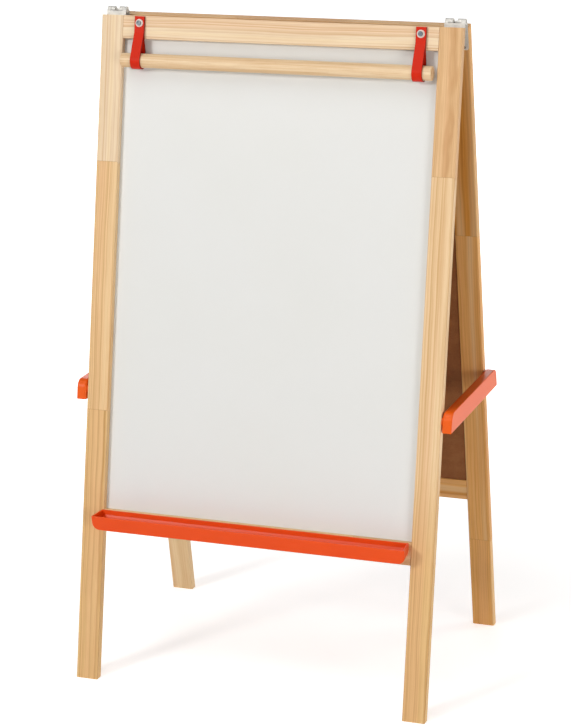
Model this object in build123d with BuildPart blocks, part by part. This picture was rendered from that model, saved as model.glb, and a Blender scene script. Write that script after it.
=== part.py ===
from build123d import *
from math import asin, atan2, cos, degrees, hypot, radians, sin
import os

# Folding easel for children: two leaning pine frames hinged at the top, a whiteboard in front,
# a chalkboard behind, a tray on each frame, a paper bar in two strap loops and two stay arms.
# Millimetres. X is the width, the front frame faces -Y, Z is up and the floor is Z = 0.
# The origin is on the floor, midway between the feet.

# Frames
frame_width = 655.0
wood_height = 1168.0
foot_depth = 480.0
top_depth = 52.0
stile_width = 41.0
stile_thickness = 17.0
edge_radius = 2.0
rail_height = 40.0
rail_edge_radius = 1.2
bottom_rail_rise = 272.3

# Wooden pins that hold a rail between two stiles
pin_radius = 4.0
pin_in_stile = 15.0
pin_in_rail = 25.0
pin_inset = 10.5
pin_end_room = 1.0
hidden_fit = 0.05

# Writing panels, held in a groove round the inside of each frame
panel_setback = 11.0
panel_thickness = 3.2
panel_fit = 0.1
groove_depth = 6.0
panel_edge_room = 0.4

# Hinges
hinge_rise = 6.0
hinge_width = 36.0
hinge_edge_inset = 1.5
leaf_drop = 41.0
leaf_thickness = 1.5
leaf_top_below_axis = 2.7
leaf_corner_radius = 3.0
knuckle_radius = 5.6
knuckle_width = 6.9
knuckle_gap = 0.3
hinge_pin_radius = 1.8
hinge_pin_fit = 0.05
hinge_pin_head_radius = 2.8
hinge_pin_head_height = 1.2
hinge_screw_radius = 1.75
hinge_screw_head_radius = 3.0
hinge_screw_length = 14.0
hinge_screw_drops = (36.4, 18.4)
hinge_screw_columns = 20.0

# Tray
tray_end_lap = 3.5
front_tray_shift = -4.0
tray_depth = 40.0
tray_height = 26.2
tray_rim_drop = 1.2
tray_wall = 3.0
tray_front_lean = 4.0
tray_end_splay = 4.0
tray_end_radius = 13.0
tray_front_radius = 1.4
tray_cove_radius = 24.0
tray_cove_spill = 0.3
tray_screw_drop = 12.3
tray_screw_spacing = 220.0
tray_screw_radius = 1.75
tray_screw_head_radius = 3.6
tray_screw_head_height = 2.2
tray_screw_bite = 2.2
tray_screw_tip_room = 0.2

# Paper bar and the straps that carry it
bar_radius = 12.5
bar_end_gap = 4.2
bar_shift = -1.6
bar_end_radius = 2.0
bar_drop = 77.6
bar_room = 0.4
strap_board_room = 0.3
strap_width = 18.0
strap_thickness = 2.2
strap_inset = 26.9
strap_shift = 1.0
strap_top_drop = 1.1
strap_split_drop = 29.0
strap_bend_room = 1.0
strap_screw_drop = 12.8
strap_screw_radius = 2.0
strap_screw_length = 15.0
strap_screw_head_radius = 4.4
strap_screw_head_height = 2.4
washer_radius = 6.9
washer_height = 2.4
washer_chamfer = 1.3

# Stay arms, each on a shoulder screw in the front stile and hooked over one in the rear stile
arm_rise = 515.0
arm_height = 34.0
arm_thickness = 17.5
arm_overhang = 13.8
arm_wall = 3.0
arm_top_radius = 16.0
arm_outer_edge_radius = 1.2
arm_inner_edge_radius = 4.0
arm_stand_off = 2.0
arm_side_room = 0.3
shoulder_radius = 4.0
shoulder_fit = 0.06
shoulder_head_radius = 5.5
shoulder_head_height = 3.0
shoulder_thread_radius = 2.4
shoulder_thread_length = 25.0
spacer_radius = 8.0
hook_room = 0.5
hook_start_fold = 1.0

screw_slot_width = 0.9
screw_slot_depth = 1.1

# Places that follow from the sizes above
lean = atan2((foot_depth - top_depth) / 2, wood_height)
lean_degrees = degrees(lean)
wood_length = hypot((foot_depth - top_depth) / 2, wood_height)
inner_width = frame_width - 2 * stile_width
stile_middle = (frame_width - stile_width) / 2
hinge_middle = frame_width / 2 - hinge_edge_inset - hinge_width / 2
axis_height = wood_height + hinge_rise
axis_rise = sin(lean) * foot_depth / 2 + cos(lean) * axis_height
axis_depth = cos(lean) * foot_depth / 2 - sin(lean) * axis_height
top_rail_rise = wood_length - rail_height
hinge_screw_rows = [wood_length - drop for drop in hinge_screw_drops]
strap_screw_rise = wood_length - strap_screw_drop
bar_length = inner_width - 2 * bar_end_gap
bar_rise = wood_length - bar_drop
strap_spacing = bar_length - 2 * strap_inset
bar_stand_off = bar_radius + bar_room + strap_thickness + strap_board_room - panel_setback - panel_fit
tray_length = inner_width + 2 * tray_end_lap
tray_rim_height = (bottom_rail_rise + rail_height) * cos(lean) - tray_rim_drop
tray_floor_height = tray_rim_height - tray_height
tray_screw_rise = bottom_rail_rise + rail_height - tray_screw_drop
arm_front = frame_width / 2 + arm_stand_off
panel_opening = top_rail_rise - bottom_rail_rise - rail_height
arm_turn_ratio = (90 - lean_degrees) / (2 * lean_degrees)
slope_axis = Axis((0, 0, 0), (0, sin(lean), cos(lean)))
cross_axis = Axis((0, 0, 0), (0, cos(lean), -sin(lean)))

# The front face of the front frame: local x across, local y up the slope, local z out of the face
front_face = Plane(origin=(0, -foot_depth / 2, 0), x_dir=(1, 0, 0), z_dir=(0, -cos(lean), sin(lean)))


def beside(rise, depth):
    """World (y, z) of a point that lies rise up the front frame's slope and depth behind its face."""
    y = -foot_depth / 2 + rise * sin(lean) + depth * cos(lean)
    z = rise * cos(lean) - depth * sin(lean)
    return (y, z)


def along_x(piece_profile, start, length):
    """The given side-view outline extruded along X."""
    with BuildPart() as piece:
        with BuildSketch(Plane.YZ.offset(start)):
            Polygon(*piece_profile, align=None)
        extrude(amount=length)
    return piece.part


arm_pivot = beside(0, stile_thickness / 2)
arm_pivot = (arm_pivot[0] + (arm_rise - arm_pivot[1]) * sin(lean) / cos(lean), arm_rise)


def pin_rises():
    """How far up the slope the rail pins lie: two for each rail."""
    rails = (bottom_rail_rise, top_rail_rise)
    return [rail + inset for rail in rails for inset in (pin_inset, rail_height - pin_inset)]


def stile(side):
    """One leg of the front frame, cut level at the foot and square at the top."""
    foot_back = -foot_depth / 2 + stile_thickness / cos(lean)
    profile = [
        (-foot_depth / 2, 0),
        (-top_depth / 2, wood_height),
        beside(wood_length, stile_thickness),
        (foot_back, 0),
    ]
    inner_side = side * inner_width / 2
    with BuildPart() as leg:
        add(along_x(profile, side * stile_middle - stile_width / 2, stile_width))
        fillet(leg.edges().filter_by(slope_axis), edge_radius)
        with BuildSketch(front_face.offset(-panel_setback)):
            with Locations((inner_side, (bottom_rail_rise + rail_height + top_rail_rise) / 2)):
                Rectangle(2 * groove_depth, panel_opening + 2 * groove_depth)
        extrude(amount=-(panel_thickness + 2 * panel_fit), mode=Mode.SUBTRACT)
        with BuildSketch(Plane.YZ.offset(inner_side)):
            with Locations(*[beside(rise, stile_thickness / 2) for rise in pin_rises()]):
                Circle(pin_radius + hidden_fit)
        extrude(amount=side * (pin_in_stile + pin_end_room), mode=Mode.SUBTRACT)
        with BuildSketch(Plane.YZ.offset(side * frame_width / 2)):
            with Locations(arm_pivot):
                Circle(shoulder_thread_radius + hidden_fit)
        extrude(amount=-side * (shoulder_thread_length + pin_end_room), mode=Mode.SUBTRACT)
        with BuildSketch(front_face.offset(-stile_thickness)):
            with Locations(*hinge_screw_points(side)):
                Circle(hinge_screw_radius + hidden_fit)
        extrude(amount=hinge_screw_length - leaf_thickness + pin_end_room / 2, mode=Mode.SUBTRACT)
    return leg.part


def strap_points():
    """Across and up-slope places of the two strap screws."""
    return [(strap_shift + side * strap_spacing / 2, strap_screw_rise) for side in (-1, 1)]


def hinge_screw_points(side):
    """Across and up-slope places of the screws in one hinge leaf."""
    columns = (-hinge_screw_columns / 2, hinge_screw_columns / 2)
    return [(side * hinge_middle + column, row) for column in columns for row in hinge_screw_rows]


def rail(rise, groove_side, has_strap_holes=False, has_tray_holes=False, tray_shift=0.0):
    """A rail between the stiles; its groove is on the upper (1) or lower (-1) edge."""
    middle_rise = rise + rail_height / 2
    with BuildPart() as bar:
        with BuildSketch(front_face):
            with Locations((0, middle_rise)):
                Rectangle(inner_width, rail_height)
        extrude(amount=-stile_thickness)
        fillet(bar.edges().filter_by(Axis.X), rail_edge_radius)
        with BuildSketch(front_face.offset(-panel_setback)):
            with Locations((0, middle_rise + groove_side * rail_height / 2)):
                Rectangle(inner_width, 2 * groove_depth)
        extrude(amount=-(panel_thickness + 2 * panel_fit), mode=Mode.SUBTRACT)
        for side in (-1, 1):
            with BuildSketch(Plane.YZ.offset(side * inner_width / 2)):
                with Locations(
                    beside(rise + pin_inset, stile_thickness / 2),
                    beside(rise + rail_height - pin_inset, stile_thickness / 2),
                ):
                    Circle(pin_radius + hidden_fit)
            extrude(amount=-side * (pin_in_rail + pin_end_room), mode=Mode.SUBTRACT)
        if has_strap_holes:
            with BuildSketch(front_face):
                with Locations(*strap_points()):
                    Circle(strap_screw_radius + hidden_fit)
            extrude(amount=-(strap_screw_length + pin_end_room), mode=Mode.SUBTRACT)
        if has_tray_holes:
            with BuildSketch(front_face):
                with Locations((tray_shift, tray_screw_rise)):
                    with GridLocations(tray_screw_spacing, 1, 3, 1):
                        Circle(tray_screw_radius + hidden_fit)
            extrude(amount=-stile_thickness, mode=Mode.SUBTRACT)
    return bar.part


def rail_pins():
    """The eight wooden pins inside the joints of one frame."""
    with BuildPart() as pins:
        for side in (-1, 1):
            with BuildSketch(Plane.YZ.offset(side * (inner_width / 2 - pin_in_rail))):
                with Locations(*[beside(rise, stile_thickness / 2) for rise in pin_rises()]):
                    Circle(pin_radius)
            extrude(amount=side * (pin_in_rail + pin_in_stile))
    return pins.part


def panel():
    """A writing panel, held by its edges in the grooves."""
    tongue = 2 * (groove_depth - panel_edge_room)
    with BuildPart() as board:
        with BuildSketch(front_face.offset(-(panel_setback + panel_fit))):
            with Locations((0, bottom_rail_rise + rail_height + panel_opening / 2)):
                Rectangle(inner_width + tongue, panel_opening + tongue)
        extrude(amount=-panel_thickness)
    return board.part


def face_y(height, depth=0.0):
    """Y of the front frame at a height, depth behind its face."""
    return -foot_depth / 2 + (height * sin(lean) + depth) / cos(lean)


def tray_profile(inset):
    """The tray's side view from the foot of its rear wall round to the foot of its front."""
    floor = tray_floor_height + inset
    rim = tray_rim_height + inset
    front = face_y(tray_rim_height) - tray_depth + inset
    slope = tray_front_lean / tray_height
    return [
        (face_y(floor, -inset), floor),
        (face_y(rim, -inset), rim),
        (front - slope * inset, rim),
        (front + slope * (tray_height - inset), floor),
    ]


def tray_block(inset, tray_shift):
    """The tray's form with flat faces (inset 0) or the hollow inside it; the ends spread forwards."""
    floor = tray_floor_height + inset
    front = face_y(tray_rim_height) - tray_depth + inset
    front_half = tray_length / 2 - inset
    back_half = front_half - 2 * tray_end_splay
    with BuildPart() as block:
        add(along_x(tray_profile(inset), tray_shift - tray_length, 2 * tray_length))
        with BuildSketch(Plane.XY.offset(floor - tray_wall)):
            with Locations((tray_shift, front - inset)):
                Polygon(
                    (-front_half, 0),
                    (front_half, 0),
                    (back_half, 2 * tray_depth),
                    (-back_half, 2 * tray_depth),
                    align=None,
                )
        extrude(amount=tray_height + 3 * tray_wall, mode=Mode.INTERSECT)
        bottom_edges = block.faces().sort_by(Axis.Z)[0].edges().sort_by(Axis.X)
        fillet([bottom_edges[0], bottom_edges[-1]], tray_end_radius - inset)
    return block.part


def tray(tray_shift):
    """An open trough against the face of the bottom rail, with blind holes for its screws.

    Inside, the rear wall runs down to the floor in one wide cove. The cove's own block is a
    little larger than the hollow, so that only its rounded edge cuts it.
    """
    with BuildPart() as cove:
        add(along_x(tray_profile(tray_wall - tray_cove_spill), tray_shift - tray_length, 2 * tray_length))
        floor_edges = cove.faces().sort_by(Axis.Z)[0].edges().filter_by(Axis.X)
        fillet(floor_edges.sort_by(Axis.Y)[-1], tray_cove_radius)
    with BuildPart() as hollow:
        add(tray_block(tray_wall, tray_shift))
        add(cove.part, mode=Mode.INTERSECT)
    with BuildPart() as trough:
        add(tray_block(0.0, tray_shift))
        front_edges = trough.faces().sort_by(Axis.Y)[0].edges()
        fillet(front_edges, tray_front_radius)
        add(hollow.part, mode=Mode.SUBTRACT)
        with BuildSketch(front_face):
            with Locations((tray_shift, tray_screw_rise)):
                with GridLocations(tray_screw_spacing, 1, 3, 1):
                    Circle(tray_screw_radius + hidden_fit)
        extrude(amount=tray_screw_bite + tray_screw_tip_room, mode=Mode.SUBTRACT)
    return trough.part


def pan_screws(seat, points, shank_radius, shank_length, head_radius, head_height):
    """Round-headed screws whose heads stand on the seat plane, each with a cross recess."""
    with BuildPart() as group:
        with BuildSketch(seat):
            with Locations(*points):
                Circle(head_radius)
        extrude(amount=head_height)
        crowns = group.faces().filter_by(GeomType.PLANE).sort_by(seat_axis(seat))[-len(points):]
        fillet(crowns.edges(), head_height * 0.6)
        with BuildSketch(seat):
            with Locations(*points):
                Circle(shank_radius)
        extrude(amount=-shank_length)
        with BuildSketch(seat.offset(head_height)):
            for point in points:
                with Locations(point):
                    Rectangle(head_radius, screw_slot_width)
                    Rectangle(screw_slot_width, head_radius)
        extrude(amount=-screw_slot_depth, mode=Mode.SUBTRACT)
    return group.part


def seat_axis(plane):
    """The axis that a plane faces along."""
    return Axis(plane.origin, plane.z_dir)


def sunk_screws(seat, points):
    """Countersunk hinge screws whose flat heads lie in the seat plane."""
    cone = hinge_screw_head_radius - hinge_screw_radius
    with BuildPart() as group:
        with BuildSketch(seat):
            with Locations(*points):
                Circle(hinge_screw_head_radius - hidden_fit)
        extrude(amount=-cone, taper=45)
        with BuildSketch(seat.offset(-cone / 2)):
            with Locations(*points):
                Circle(hinge_screw_radius)
        extrude(amount=-(hinge_screw_length - cone / 2))
        with BuildSketch(seat):
            for point in points:
                with Locations(point):
                    Rectangle(hinge_screw_head_radius, screw_slot_width)
                    Rectangle(screw_slot_width, hinge_screw_head_radius)
        extrude(amount=-screw_slot_depth, mode=Mode.SUBTRACT)
    return group.part


def hinge_lanes():
    """Across the hinge from its left edge: start and end of the four knuckles."""
    edge = hinge_width / 2
    first = (-edge, -edge + knuckle_width)
    second = (first[1] + knuckle_gap, first[1] + knuckle_gap + knuckle_width)
    third = (-second[1], -second[0])
    fourth = (-first[1], -first[0])
    return first, second, third, fourth


def hinge_leaf(side, is_front):
    """One leaf on the front frame's inner face: a plate with two knuckles curled from its top."""
    first, second, third, fourth = hinge_lanes()
    own_lanes = (first, fourth) if is_front else (second, third)
    middle = side * hinge_middle
    plate_bottom = wood_length - leaf_drop
    plate_top = axis_rise - leaf_top_below_axis
    slanted = knuckle_radius * sin(radians(45))
    with BuildPart() as leaf:
        with BuildSketch(front_face.offset(-stile_thickness)):
            with Locations((middle, plate_bottom)):
                Rectangle(hinge_width, plate_top - plate_bottom, align=(Align.CENTER, Align.MIN))
        extrude(amount=-leaf_thickness)
        fillet(leaf.edges().filter_by(cross_axis).group_by(slope_axis)[0], leaf_corner_radius)
        for lane in own_lanes:
            with BuildSketch(Plane.YZ.offset(middle + lane[0])):
                Polygon(
                    beside(plate_top - leaf_thickness, stile_thickness),
                    beside(plate_top, stile_thickness),
                    beside(axis_rise + slanted, axis_depth - slanted),
                    beside(axis_rise, axis_depth),
                    beside(axis_rise - slanted, axis_depth - slanted),
                    align=None,
                )
                with Locations((0, axis_height)):
                    Circle(knuckle_radius)
            extrude(amount=lane[1] - lane[0])
        with BuildSketch(Plane.YZ.offset(middle - hinge_width / 2)):
            with Locations((0, axis_height)):
                Circle(hinge_pin_radius + hinge_pin_fit)
        extrude(amount=hinge_width, mode=Mode.SUBTRACT)
        with BuildSketch(front_face.offset(-stile_thickness - leaf_thickness)):
            with Locations(*hinge_screw_points(side)):
                Circle(hinge_screw_head_radius)
        cone = hinge_screw_head_radius - hinge_screw_radius - hidden_fit
        extrude(amount=cone, taper=45, mode=Mode.SUBTRACT)
        with BuildSketch(front_face.offset(-stile_thickness)):
            with Locations(*hinge_screw_points(side)):
                Circle(hinge_screw_radius + hidden_fit)
        extrude(amount=-leaf_thickness, mode=Mode.SUBTRACT)
    return leaf.part


def hinge_pin(side):
    """The pin through all four knuckles, riveted over at both ends."""
    middle = side * hinge_middle
    with BuildPart() as pin:
        with BuildSketch(Plane.YZ.offset(middle - hinge_width / 2)):
            with Locations((0, axis_height)):
                Circle(hinge_pin_radius)
        extrude(amount=hinge_width)
        for end in (-1, 1):
            with BuildSketch(Plane.YZ.offset(middle + end * hinge_width / 2)):
                with Locations((0, axis_height)):
                    Circle(hinge_pin_head_radius)
            extrude(amount=end * hinge_pin_head_height)
        rims = pin.edges().filter_by(GeomType.CIRCLE).sort_by(Axis.X)
        fillet([rims[0], rims[-1]], hinge_pin_head_height * 0.6)
    return pin.part


def tangent_point(point, centre, radius, turn):
    """Where a line from the point touches the circle; turn is 1 or -1 for the two sides."""
    gap = hypot(point[0] - centre[0], point[1] - centre[1])
    heading = atan2(point[1] - centre[1], point[0] - centre[0])
    swing = turn * (radians(90) - asin(radius / gap))
    return (centre[0] + radius * cos(heading + swing), centre[1] + radius * sin(heading + swing))


def strap_line(split, bend, radius):
    """One side of the strap loop: down from the bend, round the bar and back up to the split."""
    centre = beside(bar_rise, -bar_stand_off)
    back = tangent_point(bend, centre, radius, -1)
    front = tangent_point(split, centre, radius, 1)
    lowest = beside(bar_rise - radius, -bar_stand_off)
    Line(bend, back)
    ThreePointArc(back, lowest, front)
    Line(front, split)


def strap(side):
    """A strap folded round the bar, both layers under one screw."""
    bend_rise = top_rail_rise + strap_bend_room
    split_rise = wood_length - strap_split_drop
    top_rise = wood_length - strap_top_drop
    loop_radius = bar_radius + bar_room
    outer_split = beside(split_rise, -2 * strap_thickness)
    outer_bend = beside(bend_rise, 0)
    inner_split = beside(split_rise, -strap_thickness)
    inner_bend = beside(bend_rise, -strap_thickness)
    middle = strap_shift + side * strap_spacing / 2
    with BuildPart() as loop:
        with BuildSketch(Plane.YZ.offset(middle - strap_width / 2)):
            with BuildLine():
                strap_line(outer_split, outer_bend, loop_radius + strap_thickness)
                Polyline(
                    outer_split,
                    beside(top_rise, -2 * strap_thickness),
                    beside(top_rise, 0),
                    outer_bend,
                )
            make_face()
            with BuildLine():
                strap_line(inner_split, inner_bend, loop_radius)
                Line(inner_split, inner_bend)
            make_face(mode=Mode.SUBTRACT)
        extrude(amount=strap_width)
        with BuildSketch(front_face):
            with Locations((middle, strap_screw_rise)):
                Circle(strap_screw_radius + hidden_fit)
        extrude(amount=2 * strap_thickness, mode=Mode.SUBTRACT)
    return loop.part


def boss_seen_from_arm(fold):
    """World (y, z) where the rear screw's boss lies for the arm, once the easel is folded by an angle."""
    y, z = -arm_pivot[0], arm_pivot[1] - axis_height
    along = y * cos(fold) + z * sin(fold) - arm_pivot[0]
    above = z * cos(fold) - y * sin(fold) + axis_height - arm_pivot[1]
    turn = -arm_turn_ratio * fold
    return (
        arm_pivot[0] + along * cos(turn) - above * sin(turn),
        arm_pivot[1] + along * sin(turn) + above * cos(turn),
    )


def arm_outline(inset):
    """Side view of an arm (inset 0) or of the channel in it; the ends slant as the stiles do."""
    front_end = arm_pivot[0] - arm_overhang + inset
    bottom = arm_rise - arm_height / 2
    top = arm_rise + arm_height / 2 - inset
    rake = (top - bottom) * sin(lean) / cos(lean)
    with BuildSketch() as outline:
        Polygon(
            (front_end, bottom),
            (front_end + rake, top),
            (-front_end - rake, top),
            (-front_end, bottom),
            align=None,
        )
        fillet(vertices().group_by(Axis.Y)[-1], arm_top_radius - inset)
    return outline.sketch


def arm(side):
    """A stay arm: a channel open below, with a round hole in front and a slanted hook slot behind."""
    inner = side * arm_front
    slot_radius = shoulder_radius + hook_room
    catch = (-arm_pivot[0], arm_pivot[1])
    leaving = boss_seen_from_arm(radians(hook_start_fold))
    slant = atan2(catch[0] - leaving[0], catch[1] - leaving[1])
    slot_middle = (catch[0] - arm_height / 2 * sin(slant), catch[1] - arm_height / 2 * cos(slant))
    with BuildPart() as stay:
        with BuildSketch(Plane.YZ.offset(inner)):
            add(arm_outline(0.0))
        extrude(amount=side * arm_thickness)
        flanks = stay.faces().filter_by(Axis.X).sort_by(Axis.X, reverse=side < 0)
        inner_rim = flanks[0].edges().sort_by(Axis.Z)[1:]
        outer_rim = flanks[-1].edges()
        fillet(inner_rim, arm_inner_edge_radius)
        fillet(outer_rim, arm_outer_edge_radius)
        with BuildSketch(Plane.YZ.offset(inner + side * arm_wall)):
            add(arm_outline(arm_wall))
        extrude(amount=side * (arm_thickness - 2 * arm_wall), mode=Mode.SUBTRACT)
        with BuildSketch(Plane.YZ.offset(inner)):
            with Locations(arm_pivot):
                Circle(shoulder_radius + shoulder_fit)
            with Locations(catch):
                Circle(slot_radius)
            with Locations(slot_middle):
                Rectangle(2 * slot_radius, arm_height, rotation=-degrees(slant))
        extrude(amount=side * arm_wall, mode=Mode.SUBTRACT)
    return stay.part


def shoulder_screws():
    """The shoulder screws of one frame: thread in the stile, smooth shoulder, domed head."""
    shoulder = arm_stand_off + arm_wall + arm_side_room
    with BuildPart() as group:
        for side in (-1, 1):
            with BuildSketch(Plane.YZ.offset(side * frame_width / 2)):
                with Locations(arm_pivot):
                    Circle(shoulder_thread_radius)
            extrude(amount=-side * shoulder_thread_length)
            with BuildSketch(Plane.YZ.offset(side * frame_width / 2)):
                with Locations(arm_pivot):
                    Circle(shoulder_radius)
            extrude(amount=side * shoulder)
            with BuildSketch(Plane.YZ.offset(side * (frame_width / 2 + shoulder))):
                with Locations(arm_pivot):
                    Circle(shoulder_head_radius)
            extrude(amount=side * shoulder_head_height)
        rims = group.edges().filter_by(GeomType.CIRCLE).sort_by(Axis.X)
        fillet([rims[0], rims[-1]], shoulder_head_height * 0.6)
    return group.part


def spacers():
    """The two spacer rings between the stiles of one frame and the arms."""
    with BuildPart() as rings:
        for side in (-1, 1):
            with BuildSketch(Plane.YZ.offset(side * frame_width / 2)):
                with Locations(arm_pivot):
                    Circle(spacer_radius)
                    Circle(shoulder_radius + hidden_fit, mode=Mode.SUBTRACT)
            extrude(amount=side * (arm_stand_off - arm_side_room))
    return rings.part


def keep(piece, label):
    """Name a finished piece and write it out."""
    piece.label = label
    export_step(piece, f"parts/{label}.step")


os.makedirs("parts", exist_ok=True)

# Pieces that are alike in both frames are made in front and mirrored for the rear
both_frames = {
    "left_stile": stile(-1),
    "right_stile": stile(1),
    "rail_pins": rail_pins(),
    "spacers": spacers(),
    "shoulder_screws": shoulder_screws(),
}
for name, piece in both_frames.items():
    keep(piece, f"front_{name}")
    keep(mirror(piece, about=Plane.XZ), f"rear_{name}")

keep(panel(), "whiteboard_panel")
keep(mirror(panel(), about=Plane.XZ), "chalkboard_panel")

keep(rail(top_rail_rise, -1, has_strap_holes=True), "front_top_rail")
keep(mirror(rail(top_rail_rise, -1), about=Plane.XZ), "rear_top_rail")

tray_screw_columns = (-tray_screw_spacing, 0, tray_screw_spacing)
inward_face = Plane(
    origin=front_face.offset(-stile_thickness).origin, x_dir=(1, 0, 0), z_dir=(0, cos(lean), -sin(lean))
)
for frame_name, tray_shift in (("front", front_tray_shift), ("rear", 0.0)):
    screw_points = [(tray_shift + column, -tray_screw_rise) for column in tray_screw_columns]
    made = {
        "bottom_rail": rail(bottom_rail_rise, 1, has_tray_holes=True, tray_shift=tray_shift),
        "tray": tray(tray_shift),
        "tray_screws": pan_screws(
            inward_face,
            screw_points,
            tray_screw_radius,
            stile_thickness + tray_screw_bite,
            tray_screw_head_radius,
            tray_screw_head_height,
        ),
    }
    for name, piece in made.items():
        placed = piece if frame_name == "front" else mirror(piece, about=Plane.XZ)
        keep(placed, f"{frame_name}_{name}")

leaf_face = Plane(
    origin=front_face.offset(-stile_thickness - leaf_thickness).origin,
    x_dir=(1, 0, 0),
    z_dir=(0, cos(lean), -sin(lean)),
)
hinge_points = [(x, -rise) for side in (-1, 1) for x, rise in hinge_screw_points(side)]
leaf_screws = sunk_screws(leaf_face, hinge_points)
keep(leaf_screws, "hinge_front_screws")
keep(mirror(leaf_screws, about=Plane.XZ), "hinge_rear_screws")
for side, side_name in ((-1, "left"), (1, "right")):
    keep(hinge_leaf(side, True), f"{side_name}_hinge_front_leaf")
    keep(mirror(hinge_leaf(side, False), about=Plane.XZ), f"{side_name}_hinge_rear_leaf")
    keep(hinge_pin(side), f"{side_name}_hinge_pin")
    keep(strap(side), f"{side_name}_strap")
    keep(arm(side), f"{side_name}_arm")

# Cup washers and screws that hold the straps
strap_face = front_face.offset(2 * strap_thickness)
with BuildPart() as strap_washers:
    with BuildSketch(strap_face):
        with Locations(*strap_points()):
            Circle(washer_radius)
    extrude(amount=washer_height)
    washer_tops = strap_washers.faces().filter_by(GeomType.PLANE).sort_by(seat_axis(strap_face))[-2:]
    chamfer(washer_tops.edges(), washer_chamfer)
    with BuildSketch(strap_face):
        with Locations(*strap_points()):
            Circle(strap_screw_radius + hidden_fit)
    extrude(amount=washer_height, mode=Mode.SUBTRACT)
keep(strap_washers.part, "strap_washers")
strap_screws = pan_screws(
    strap_face.offset(washer_height),
    strap_points(),
    strap_screw_radius,
    strap_screw_length + 2 * strap_thickness + washer_height,
    strap_screw_head_radius,
    strap_screw_head_height,
)
keep(strap_screws, "strap_screws")

# The paper bar hangs in the strap loops and turns there
bar_centre = beside(bar_rise, -bar_stand_off)
with BuildPart() as paper_bar:
    with BuildSketch(Plane.YZ.offset(bar_shift - bar_length / 2)):
        with Locations(bar_centre):
            Circle(bar_radius)
    extrude(amount=bar_length)
    fillet(paper_bar.edges().filter_by(GeomType.CIRCLE), bar_end_radius)
keep(paper_bar.part, "paper_bar")
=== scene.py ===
import math

import bpy
from mathutils import Matrix, Vector


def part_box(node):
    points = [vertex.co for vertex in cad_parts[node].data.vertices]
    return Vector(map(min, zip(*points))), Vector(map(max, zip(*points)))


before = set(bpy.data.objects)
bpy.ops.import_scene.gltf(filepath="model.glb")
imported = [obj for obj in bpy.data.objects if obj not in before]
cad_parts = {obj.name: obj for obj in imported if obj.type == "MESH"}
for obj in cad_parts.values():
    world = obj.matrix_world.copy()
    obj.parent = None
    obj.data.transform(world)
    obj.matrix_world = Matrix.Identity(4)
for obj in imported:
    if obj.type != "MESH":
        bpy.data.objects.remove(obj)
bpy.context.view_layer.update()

# The scene is in metres, and the materials work in millimetres
MILLIMETRES = 1000.0

# The two frames lean against each other. At the top of the wood their outer faces are TOP_DEPTH
# apart, and the stile's box gives where the feet stand and how high the wood reaches
TOP_DEPTH = 52.0
stile_low, stile_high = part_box("front_left_stile")
HALF_FOOT = -stile_low.y * MILLIMETRES
LEAN = math.atan2(HALF_FOOT - TOP_DEPTH / 2, stile_high.z * MILLIMETRES)

# How far the panels' outer faces lie behind the frames', and how deep their coated side goes
PANEL_SETBACK = 11.0
COATED_DEPTH = 1.9

# The photograph's camera, fitted to the corners of both frames: turns in degrees, place in metres,
# and focal length in pixels of the photograph, which is 725 pixels high
CAMERA_YAW = 19.83
CAMERA_PITCH = 16.16
CAMERA_ROLL = -0.77
CAMERA_PLACE = (1.395, -3.877, 1.747)
FOCAL_PIXELS = 2397.0
PHOTO_HEIGHT = 725.0
SENSOR = 36.0


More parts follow.
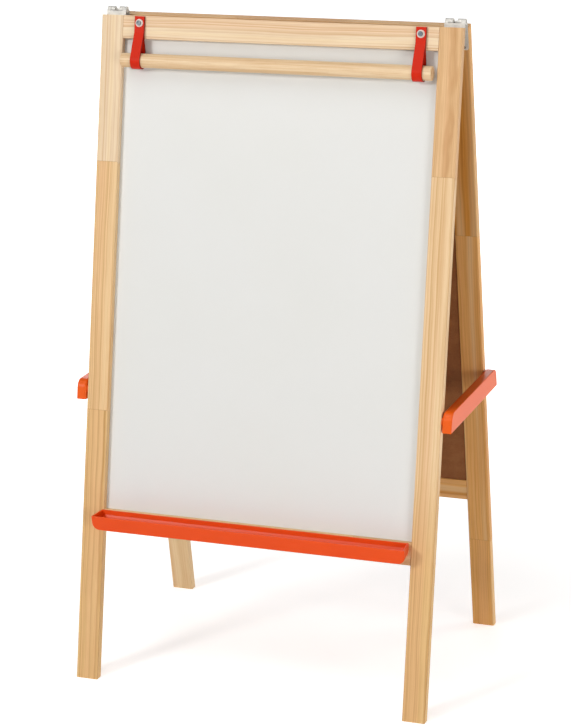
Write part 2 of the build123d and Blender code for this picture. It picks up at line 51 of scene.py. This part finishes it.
# Helpers for the materials
class Nodes:
    """A node tree with short calls for the nodes used here."""

    def __init__(self, tree):
        self.tree = tree
        self.tree.nodes.clear()

    def node(self, kind, **settings):
        made = self.tree.nodes.new(kind)
        for key, value in settings.items():
            setattr(made, key, value)
        return made

    def put(self, value, socket):
        """Link another node's output to the socket, or set it to a constant."""
        if isinstance(value, bpy.types.NodeSocket):
            self.tree.links.new(value, socket)
        else:
            socket.default_value = value

    def put_all(self, values, made):
        """Fill a node's inputs in their order, and give its first output."""
        for value, socket in zip(values, made.inputs):
            self.put(value, socket)
        return made.outputs[0]

    def math(self, operation, *values):
        return self.put_all(values, self.node("ShaderNodeMath", operation=operation))

    def add(self, a, b):
        return self.math("ADD", a, b)

    def sub(self, a, b):
        return self.math("SUBTRACT", a, b)

    def mul(self, a, b):
        return self.math("MULTIPLY", a, b)

    def vector(self, x, y, z):
        return self.put_all((x, y, z), self.node("ShaderNodeCombineXYZ"))

    def split(self, vector):
        made = self.node("ShaderNodeSeparateXYZ")
        self.put(vector, made.inputs[0])
        return tuple(made.outputs)

    def scaled(self, vector, factor):
        made = self.node("ShaderNodeVectorMath", operation="SCALE")
        self.put(vector, made.inputs[0])
        self.put(factor, made.inputs["Scale"])
        return made.outputs[0]

    def sway(self, pattern, width):
        """A pattern from 0 to 1 as a shift to either side, width from end to end."""
        return self.mul(self.sub(pattern, 0.5), width)

    def ramp(self, value, low, high, out_low=0.0, out_high=1.0, smooth=True):
        """From out_low to out_high while the value goes from low to high, and level outside them."""
        course = "SMOOTHSTEP" if smooth else "LINEAR"
        made = self.node("ShaderNodeMapRange", interpolation_type=course, clamp=True)
        return self.put_all((value, low, high, out_low, out_high), made)

    def curve(self, value, stops):
        """A colour for each value from 0 to 1, by stops that are a value and its colour."""
        made = self.node("ShaderNodeValToRGB")
        points = made.color_ramp.elements
        for point, (position, colour) in zip(points, (stops[0], stops[-1])):
            point.position = position
            point.color = colour
        for position, colour in stops[1:-1]:
            points.new(position).color = colour
        return self.put_all((value,), made)

    def mix(self, factor, a, b):
        made = self.node("ShaderNodeMix", data_type="RGBA")
        self.put(factor, made.inputs[0])
        self.put(a, made.inputs[6])
        self.put(b, made.inputs[7])
        return made.outputs[2]

    def tint(self, colour, other, pattern, low, high, most=1.0):
        """The colour, turning by up to `most` into another while a pattern goes from low to high."""
        return self.mix(self.ramp(pattern, low, high, 0.0, most), colour, other)

    def noise(self, where, scale, detail, rough):
        made = self.node("ShaderNodeTexNoise")
        self.put(where, made.inputs["Vector"])
        self.put(scale, made.inputs["Scale"])
        self.put(detail, made.inputs["Detail"])
        self.put(rough, made.inputs["Roughness"])
        return made.outputs[0]

    def drawn_out(self, place, scales, detail, rough):
        """Noise with a scale for each coordinate, and so drawn out along those whose scale is small."""
        where = self.vector(*(self.mul(part, scale) for part, scale in zip(place, scales)))
        return self.noise(where, 1.0, detail, rough)

    def background(self, colour, strength):
        return self.put_all((colour, strength), self.node("ShaderNodeBackground"))


class Shader(Nodes):
    """A material with one principled shader."""

    def __init__(self, name):
        self.material = bpy.data.materials.new(name)
        self.material.use_nodes = True
        super().__init__(self.material.node_tree)
        self.surface = self.node("ShaderNodeBsdfPrincipled")
        output = self.node("ShaderNodeOutputMaterial")
        self.put(self.surface.outputs[0], output.inputs["Surface"])

    def place(self):
        """The object's own coordinates in millimetres, as x, y and z."""
        coordinates = self.node("ShaderNodeTexCoord").outputs["Object"]
        return self.split(self.scaled(coordinates, MILLIMETRES))

    def slope_place(self, sign):
        """Across, up the slope and depth behind the outer face, on the front (1) or rear (-1) frame."""
        x, y, z = self.place()
        inward = self.add(self.mul(y, float(sign)), HALF_FOOT)
        up = self.add(self.mul(inward, math.sin(LEAN)), self.mul(z, math.cos(LEAN)))
        depth = self.sub(self.mul(inward, math.cos(LEAN)), self.mul(z, math.sin(LEAN)))
        return x, up, depth

    def bump(self, height, strength, distance):
        made = self.node("ShaderNodeBump")
        self.put(strength, made.inputs["Strength"])
        self.put(distance, made.inputs["Distance"])
        self.put(height, made.inputs["Height"])
        return made.outputs[0]

    def finish(self, **inputs):
        """Fill the shader's inputs, named with _ for a space, and give the material."""
        for key, value in inputs.items():
            self.put(value, self.surface.inputs[key.replace("_", " ")])
        return self.material


def srgb(*levels):
    """A colour given on the 0 to 255 display scale, as linear light."""
    shown = [level / 255.0 for level in levels]
    light = [v / 12.92 if v <= 0.04045 else ((v + 0.055) / 1.055) ** 2.4 for v in shown]
    return (*light, 1.0)


def grey(level):
    return (level, level, level, 1.0)


def wear(material, *nodes):
    """Give CAD nodes one material all over."""
    for node in nodes:
        mesh = bpy.data.objects[node].data
        mesh.materials.clear()
        mesh.materials.append(material)
        for polygon in mesh.polygons:
            polygon.material_index = 0


# Pine. Its colours come first, each tone as the light early wood and the dark late wood
PINK = srgb(230, 180, 138)
CREAM = srgb(240, 216, 172)
TONES = {
    "pale": (srgb(238, 218, 188), srgb(207, 168, 125)),
    "mid": (srgb(237, 202, 154), srgb(200, 151, 95)),
    "cream": (srgb(238, 209, 168), srgb(206, 160, 106)),
    "honey": (srgb(230, 193, 137), srgb(190, 141, 81)),
    "warm": (srgb(227, 190, 144), srgb(192, 142, 91)),
    # The last two tones are painted shade: more saturated pine for the rear right stile and the rear
    # bottom rail, whose faces between the frames lie in shade
    "deep": (srgb(236, 182, 112), srgb(196, 132, 62)),
    "shaded_amber": (srgb(222, 158, 76), srgb(178, 110, 36)),
}

# The teeth of a finger joint, and the dark seam along them, in millimetres
TOOTH_HALF_PITCH = 2.1
TOOTH_SLOPE = 2.4
TOOTH_HALF_LENGTH = 2.5
SEAM_HALF_WIDTH = 0.45
SEAM_COLOUR = srgb(150, 98, 52)
SEAM_STRENGTH = 0.32

# How dark a year's ring is from its start to its end, darkest in the late wood
RING = [(0.0, 0.15), (0.1, 0.0), (0.45, 0.12), (0.72, 0.6), (0.86, 1.0), (0.95, 0.55), (1.0, 0.15)]

# How the rings wander, in millimetres: a slow bend, a small wobble across and in depth, and years
# of unlike growth
RING_BEND = 12.0
RING_WOBBLE = 1.6
DEPTH_WOBBLE = 2.5
GROWTH = 26.0

# From one length of wood to the next, the step in the noise, and the turn and reach of the swing
# by which its figure moves across
LENGTH_STEP = 37.7
SWING_TURN = 2.3
SWING_REACH = 34.0

# The eight pieces of the frames. Places are millimetres up the slope or from the middle
FRAME_WOOD = {
    "front_left_stile": dict(
        seed=1.0, pith=(-250.0, 60.0), spacing=3.6, contrast=0.9,
        tones=("honey", "mid", "pale"), joints=(487.0, 929.0),
    ),
    "front_right_stile": dict(
        seed=5.0, pith=(345.0, 70.0), spacing=4.2, contrast=1.0,
        tones=("honey", "warm"), joints=(935.0,), drift=((230.0, 480.0, "cream"),),
    ),
    "rear_left_stile": dict(
        seed=9.0, pith=(-260.0, 70.0), spacing=5.0, contrast=0.8,
        tones=("cream", "mid", "mid"), joints=(330.0, 860.0),
    ),
    # Painted shade: all its tones are the more saturated ones
    "rear_right_stile": dict(
        seed=14.0, pith=(250.0, 50.0), spacing=3.4, contrast=0.7,
        tones=("deep", "deep", "shaded_amber"), joints=(187.0, 802.0),
    ),
    "front_top_rail": dict(
        seed=21.0, pith=(1330.0, 90.0), spacing=5.4, contrast=1.25,
        tones=("pale",),
    ),
    "front_bottom_rail": dict(
        seed=26.0, pith=(300.0, 60.0), spacing=5.0, contrast=0.7,
        tones=("mid", "warm"), joints=(180.0,),
    ),
    "rear_top_rail": dict(
        seed=31.0, pith=(1160.0, 60.0), spacing=5.0, contrast=0.7,
        tones=("mid", "warm"), joints=(-90.0,),
    ),
    # Painted shade: its tones are the more saturated ones
    "rear_bottom_rail": dict(
        seed=37.0, pith=(290.0, 60.0), spacing=6.0, contrast=0.9,
        tones=("deep", "deep"), joints=(60.0,),
    ),
}


def finger_joints(sh, along, depth, joints):
    """For each joint where the wood beyond it is, and the seam along the teeth of them all."""
    teeth = sh.mul(sh.math("PINGPONG", depth, TOOTH_HALF_PITCH), TOOTH_SLOPE)
    toothed = sh.add(along, teeth)
    beyond_joints = []
    seam = 0.0
    for joint in joints:
        middle = joint + TOOTH_HALF_LENGTH
        beyond_joints.append(sh.math("GREATER_THAN", toothed, middle))
        near = sh.math("COMPARE", toothed, middle, SEAM_HALF_WIDTH)
        seam = sh.math("MAXIMUM", seam, near)
    return beyond_joints, seam


def wood_tones(sh, along, beyond_joints, tones, drift):
    """The light and dark colour of the wood, which change slowly by drift and at each joint."""
    changes = [(sh.ramp(along, low, high), tone) for low, high, tone in drift]
    changes += zip(beyond_joints, tones[1:])
    light, dark = TONES[tones[0]]
    for amount, tone in changes:
        light = sh.mix(amount, light, TONES[tone][0])
        dark = sh.mix(amount, dark, TONES[tone][1])
    return light, dark


def pine(name, sign, lengthwise, seed, pith, spacing, contrast, tones, joints=(), drift=()):
    """Solid pine. Each length between finger joints has its own figure and tone.

    lengthwise is "up" for a stile and "across" for a rail, and joints are places along it. pith is
    the rings' centre, as its place across and its distance in front of the outer face, and spacing
    is the width of a year's ring. tones has a name for each length. drift gives stretches of the
    first length over which its tone changes slowly into another.
    """
    sh = Shader(name)
    x, up, depth = sh.slope_place(sign)
    along, across = (up, x) if lengthwise == "up" else (x, up)
    beyond_joints, seam = finger_joints(sh, along, depth, joints)
    light, dark = wood_tones(sh, along, beyond_joints, tones, drift)
    length_number = seed
    for beyond in beyond_joints:
        length_number = sh.add(length_number, beyond)
    shift = sh.mul(length_number, LENGTH_STEP)

    def through_wood(across_scale, along_scale, rough):
        """Noise in the solid wood, unlike in each length."""
        sideways = sh.add(sh.mul(across, across_scale), shift)
        where = sh.vector(sideways, sh.mul(depth, across_scale), sh.mul(along, along_scale))
        return sh.noise(where, 1.0, 2.0, rough)

    def by_ring(ring_place, ring_scale, along_scale, detail, rough):
        """Noise that changes from ring to ring and slowly along them, unlike in each length."""
        where = sh.vector(sh.mul(ring_place, ring_scale), shift, sh.mul(along, along_scale))
        return sh.noise(where, 1.0, detail, rough)

    # The rings, about a pith that lies outside the wood
    bend = through_wood(0.012, 0.0032, 0.5)
    wobble = through_wood(0.05, 0.011, 0.55)
    figure = sh.add(across, sh.sway(bend, RING_BEND))
    figure = sh.add(figure, sh.sway(wobble, RING_WOBBLE))
    if joints:
        swing = sh.math("SINE", sh.mul(length_number, SWING_TURN))
        figure = sh.add(figure, sh.mul(swing, SWING_REACH))
    aside = sh.sub(figure, pith[0])
    behind = sh.add(sh.add(depth, sh.sway(wobble, DEPTH_WOBBLE)), pith[1])
    radius = sh.math("SQRT", sh.add(sh.mul(aside, aside), sh.mul(behind, behind)))
    growth = by_ring(radius, 0.045, 0.0, 2.0, 0.6)
    radius = sh.add(radius, sh.mul(growth, GROWTH))
    years = sh.math("DIVIDE", radius, spacing)
    ring = sh.curve(sh.math("FRACT", years), [(turn, grey(level)) for turn, level in RING])
    strength = by_ring(sh.math("FLOOR", years), 0.73, 0.0012, 1.0, 0.5)
    ring = sh.mul(ring, sh.ramp(strength, 0.3, 0.65, 0.25, 1.0))

    # Broad bands and fine lines that follow the rings, and fibres, pores and clouds that don't
    place = (across, depth, along)
    band = by_ring(figure, 0.055, 0.0009, 1.0, 0.5)
    line = by_ring(figure, 0.5, 0.0035, 2.0, 0.6)
    fibre = sh.drawn_out(place, (1.5, 1.5, 0.028), 3.0, 0.6)
    pores = sh.drawn_out(place, (4.2, 4.2, 0.09), 2.0, 0.5)
    cloud = through_wood(0.03, 0.005, 0.5)

    colour = sh.mix(sh.mul(ring, contrast), light, dark)
    colour = sh.tint(colour, dark, fibre, 0.35, 0.75, most=0.28)
    colour = sh.tint(colour, dark, line, 0.48, 0.68, most=0.44)
    colour = sh.tint(colour, dark, cloud, 0.35, 0.7, most=0.2)
    colour = sh.tint(colour, PINK, band, 0.5, 0.66, most=0.25)
    colour = sh.mix(sh.ramp(band, 0.3, 0.46, 0.38, 0.0), colour, CREAM)
    colour = sh.mix(sh.mul(seam, SEAM_STRENGTH), colour, SEAM_COLOUR)
    height = sh.add(sh.mul(pores, 0.5), sh.mul(ring, 0.5))
    return sh.finish(
        Base_Color=colour,
        Normal=sh.bump(height, 0.18, 0.0003),
        Roughness=sh.ramp(fibre, 0.2, 0.8, 0.44, 0.56, smooth=False),
        IOR=1.45,
        Specular_IOR_Level=0.22,
    )


def dress_frames():
    for node, wood in FRAME_WOOD.items():
        sign = 1 if node.startswith("front") else -1
        lengthwise = "up" if node.endswith("stile") else "across"
        wear(pine("pine_" + node, sign, lengthwise, **wood), node)
    pins = pine(
        "beech_pins", 1, "across", seed=50.0, pith=(35.0, 60.0), spacing=4.6, contrast=0.6, tones=("mid",)
    )
    wear(pins, "front_rail_pins", "rear_rail_pins")


# The other materials
def bar_wood():
    """Turned hardwood bar, finer and straighter than the pine."""
    sh = Shader("paper_bar_wood")
    place = sh.place()
    fibre = sh.drawn_out(place, (0.02, 0.9, 0.9), 3.0, 0.6)
    band = sh.drawn_out(place, (0.003, 0.16, 0.16), 2.0, 0.5)
    fleck = sh.drawn_out(place, (0.12, 3.0, 3.0), 1.0, 0.5)
    colour = sh.tint(srgb(236, 211, 174), srgb(212, 171, 121), band, 0.35, 0.68, most=0.7)
    colour = sh.tint(colour, srgb(196, 150, 100), fibre, 0.4, 0.75, most=0.4)
    colour = sh.tint(colour, srgb(176, 128, 82), fleck, 0.62, 0.75, most=0.25)
    return sh.finish(
        Base_Color=colour,
        Normal=sh.bump(fleck, 0.12, 0.0002),
        Roughness=sh.ramp(fibre, 0.2, 0.8, 0.4, 0.52, smooth=False),
        IOR=1.45,
    )


def board(name, sign, face, speck, face_rough, patch):
    """A hardboard panel: a smooth coated outer side in front of raw brown fibre."""
    sh = Shader(name)
    x, up, depth = sh.slope_place(sign)
    where = sh.vector(x, up, depth)
    orange_peel = sh.noise(where, 0.35, 2.0, 0.5)
    haze = sh.noise(where, patch, 2.0, 0.5)
    fibres = sh.drawn_out((x, up, depth), (0.9, 0.9, 1.0), 4.0, 0.7)
    mottle = sh.noise(where, 0.05, 3.0, 0.6)
    back = sh.tint(srgb(150, 96, 54), srgb(122, 74, 38), fibres, 0.3, 0.7)
    back = sh.tint(back, srgb(166, 110, 66), mottle, 0.35, 0.7, most=0.35)
    coated = sh.tint(face, speck, haze, 0.3, 0.7)
    is_back = sh.math("GREATER_THAN", depth, PANEL_SETBACK + COATED_DEPTH)
    face_gloss = sh.ramp(haze, 0.3, 0.7, face_rough, face_rough + 0.015)
    height = sh.ramp(is_back, 0.0, 1.0, sh.mul(orange_peel, 0.15), fibres, smooth=False)
    return sh.finish(
        Base_Color=sh.mix(is_back, coated, back),
        Normal=sh.bump(height, 0.15, 0.0004),
        Roughness=sh.ramp(is_back, 0.0, 1.0, face_gloss, 0.68, smooth=False),
        IOR=1.5,
        Specular_IOR_Level=0.25,
    )


def plastic(name, base, deep, rough, specular, grain=1.4, strength=0.1):
    """Moulded plastic with a fine spark-eroded grain and a slight drift of shade."""
    sh = Shader(name)
    place = sh.place()
    where = sh.vector(*place)
    fine = sh.noise(where, grain, 3.0, 0.6)
    drift = sh.noise(where, 0.012, 2.0, 0.5)
    scuff = sh.drawn_out(place, (0.02, 0.4, 0.4), 3.0, 0.6)
    grained = sh.ramp(fine, 0.3, 0.7, rough, rough + 0.06)
    scuffed = sh.ramp(scuff, 0.6, 0.8, 0.0, 0.08)
    return sh.finish(
        Base_Color=sh.tint(base, deep, drift, 0.3, 0.7, most=0.5),
        Normal=sh.bump(fine, strength, 0.0002),
        Roughness=sh.add(grained, scuffed),
        IOR=1.5,
        Specular_IOR_Level=specular,
    )


def strap_stuff(*straps):
    """Red coated strap: pebbled outer faces, and painted shade on its cut sides."""
    sh = Shader("red_strap")
    place = sh.place()
    where = sh.vector(*place)
    pebble = sh.node("ShaderNodeTexVoronoi")
    sh.put(where, pebble.inputs["Vector"])
    sh.put(1.6, pebble.inputs["Scale"])
    fine = sh.noise(where, 3.0, 2.0, 0.6)
    sides = [[corner.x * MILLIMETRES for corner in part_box(strap)] for strap in straps]
    half_width = (sides[0][1] - sides[0][0]) / 2
    off_middles = [sh.math("ABSOLUTE", sh.sub(place[0], sum(pair) / 2)) for pair in sides]
    off_middle = sh.math("MINIMUM", *off_middles)
    # Painted shade: dark red over the cut sides and the outermost 0.7 mm of the faces
    painted_side_shade = sh.ramp(off_middle, half_width - 0.7, half_width - 0.05)
    colour = sh.tint(srgb(207, 37, 4), srgb(195, 31, 2), fine, 0.3, 0.7, most=0.3)
    height = sh.add(sh.mul(pebble.outputs["Distance"], 0.6), sh.mul(fine, 0.4))
    return sh.finish(
        Base_Color=sh.mix(sh.mul(painted_side_shade, 0.75), colour, srgb(120, 14, 4)),
        Normal=sh.bump(height, 0.22, 0.0003),
        Roughness=sh.ramp(fine, 0.3, 0.7, 0.42, 0.55),
        IOR=1.5,
        Specular_IOR_Level=0.15,
    )


def metal(name, colour, dull, rough, streak, metallic):
    """Zinc-plated steel: cloudy plating with fine drawing marks."""
    sh = Shader(name)
    place = sh.place()
    marks = sh.drawn_out(place, streak, 3.0, 0.6)
    cloud = sh.noise(sh.vector(*place), 0.18, 3.0, 0.6)
    marked = sh.ramp(marks, 0.3, 0.7, rough, rough + 0.12)
    clouded = sh.ramp(cloud, 0.5, 0.8, 0.0, 0.08)
    return sh.finish(
        Base_Color=sh.tint(colour, dull, cloud, 0.35, 0.7),
        Normal=sh.bump(marks, 0.12, 0.0002),
        Roughness=sh.add(marked, clouded),
        Metallic=metallic,
    )


def dress_fittings():
    wear(bar_wood(), "paper_bar")
    whiteboard = board("whiteboard", 1, srgb(225, 226, 225), srgb(224, 225, 223), 0.42, patch=0.004)
    wear(whiteboard, "whiteboard_panel")
    chalkboard = board("chalkboard", -1, srgb(44, 48, 47), srgb(54, 58, 56), 0.62, patch=0.018)
    wear(chalkboard, "chalkboard_panel")
    tray_red = plastic("tray_plastic", srgb(234, 76, 5), srgb(229, 70, 2), 0.34, specular=0.27)
    wear(tray_red, "front_tray", "rear_tray")
    arm_red = plastic("arm_plastic", srgb(236, 94, 10), srgb(231, 88, 7), 0.36, specular=0.27)
    wear(arm_red, "left_arm", "right_arm", "front_spacers", "rear_spacers")
    straps = ("left_strap", "right_strap")
    wear(strap_stuff(*straps), *straps)
    drawn = (0.2, 3.0, 0.2)
    zinc = metal("zinc_plate", srgb(216, 214, 208), srgb(202, 201, 197), 0.4, drawn, metallic=0.2)
    for side in ("left", "right"):
        for piece in ("front_leaf", "rear_leaf", "pin"):
            wear(zinc, f"{side}_hinge_{piece}")
    even = (1.5, 1.5, 1.5)
    screw_steel = metal("screw_steel", srgb(120, 128, 134), srgb(92, 100, 106), 0.3, even, metallic=1.0)
    wear(screw_steel, "strap_screws", "front_tray_screws", "rear_tray_screws")
    wear(screw_steel, "hinge_front_screws", "hinge_rear_screws")
    wear(screw_steel, "front_shoulder_screws", "rear_shoulder_screws")
    white, shade = srgb(234, 222, 214), srgb(224, 210, 202)
    washer = plastic("cup_washer", white, shade, 0.38, specular=0.5, grain=1.0, strength=0.05)
    wear(washer, "strap_washers")


# Camera, floor and light
def place_camera():
    """The photograph's camera."""
    yaw, pitch, roll = (math.radians(a) for a in (CAMERA_YAW, CAMERA_PITCH, CAMERA_ROLL))
    level = Vector((-math.sin(yaw), math.cos(yaw), 0.0))
    side = Vector((math.cos(yaw), math.sin(yaw), 0.0))
    vertical = Vector((0, 0, 1))
    forward = level * math.cos(pitch) - vertical * math.sin(pitch)
    upward = vertical * math.cos(pitch) + level * math.sin(pitch)
    rightward = side * math.cos(roll) + upward * math.sin(roll)
    topward = upward * math.cos(roll) - side * math.sin(roll)
    camera_data = bpy.data.cameras.new("camera")
    camera_data.sensor_width = SENSOR
    camera_data.lens = SENSOR * FOCAL_PIXELS / PHOTO_HEIGHT
    camera = bpy.data.objects.new("camera", camera_data)
    bpy.context.collection.objects.link(camera)
    turn = Matrix((rightward, topward, -forward)).transposed().to_4x4()
    camera.matrix_world = Matrix.Translation(Vector(CAMERA_PLACE)) @ turn
    bpy.context.scene.camera = camera


def lay_floor():
    """A white floor that glows where it is seen, less near the object, where its shadow stays."""
    bpy.ops.mesh.primitive_plane_add(size=40.0, location=(0, 0, 0))
    floor = bpy.context.object
    floor.name = "floor"
    sh = Shader("pale_floor")
    x, y, z = sh.place()
    dust = sh.noise(sh.vector(x, y, z), 0.02, 3.0, 0.5)
    away = sh.math("SQRT", sh.add(sh.mul(x, x), sh.mul(y, y)))
    rays = sh.node("ShaderNodeLightPath").outputs
    reflection = sh.ramp(away, low=1400.0, high=2500.0, out_low=1.0, out_high=0.45)
    seen = sh.math("MAXIMUM", rays["Is Camera Ray"], sh.mul(rays["Is Glossy Ray"], reflection))
    glow = sh.ramp(away, low=500.0, high=1800.0, out_low=0.55, out_high=1.0)
    material = sh.finish(
        Base_Color=sh.tint(srgb(246, 246, 246), srgb(243, 243, 243), dust, 0.3, 0.7),
        Roughness=0.9,
        Specular_IOR_Level=0.0,
        Emission_Color=grey(1.0),
        Emission_Strength=sh.mul(seen, glow),
    )
    floor.data.materials.append(material)


def light_world():
    """White to the camera. To the object bright low down, dark above, and dimmer in front."""
    world = bpy.data.worlds.new("studio")
    bpy.context.scene.world = world
    world.use_nodes = True
    sky = Nodes(world.node_tree)
    _, backward, upward = sky.split(sky.node("ShaderNodeTexCoord").outputs["Generated"])
    low_glow = (0.06, (1.0, 0.99, 0.98, 1.0))
    high_glow = (0.24, (0.32, 0.32, 0.33, 1.0))
    by_height = sky.curve(upward, [low_glow, high_glow])
    by_side = sky.ramp(backward, low=-0.4, high=0.3, out_low=0.45, out_high=1.0, smooth=False)
    fill = sky.background(sky.scaled(by_height, by_side), 0.8)
    white = sky.background(grey(1.0), 1.0)
    is_seen = sky.node("ShaderNodeLightPath").outputs["Is Camera Ray"]
    chosen = sky.put_all((is_seen, fill, white), sky.node("ShaderNodeMixShader"))
    sky.put(chosen, sky.node("ShaderNodeOutputWorld").inputs["Surface"])


def soft_light(name, place, aim, size, power, colour=(1, 1, 1)):
    """An area lamp that the camera doesn't see. Its power is in watts."""
    lamp = bpy.data.lights.new(name, "AREA")
    lamp.shape = "RECTANGLE"
    lamp.size, lamp.size_y = size
    lamp.energy = power
    lamp.color = colour
    holder = bpy.data.objects.new(name, lamp)
    bpy.context.collection.objects.link(holder)
    holder.location = place
    holder.rotation_euler = (Vector(aim) - Vector(place)).to_track_quat("-Z", "Y").to_euler()
    holder.visible_camera = False


dress_frames()
dress_fittings()
place_camera()
bpy.context.scene.view_settings.view_transform = "Standard"
lay_floor()
light_world()
soft_light("key", (-4.3, -7.7, 4.4), (0, 0, 0.6), (1.9, 1.9), 350.0, (1.0, 0.985, 0.96))
soft_light("overhead", (-0.6, -1.9, 4.8), (0, 0, 0.2), (2.6, 2.6), 72.0, (1.0, 0.99, 0.97))
soft_light("low_right", (3.4, -2.6, 0.8), (0.1, 0.3, 0.5), (1.6, 1.0), 50.0, (1.0, 0.97, 0.92))
soft_light("back_right", (4.2, 3.4, 1.5), (0, 0.1, 0.5), (2.4, 2.0), 88.0, (1.0, 0.94, 0.84))
soft_light("back_left", (-2.7, 6.8, 2.7), (0, 0, 0.5), (3.2, 1.6), 74.0)
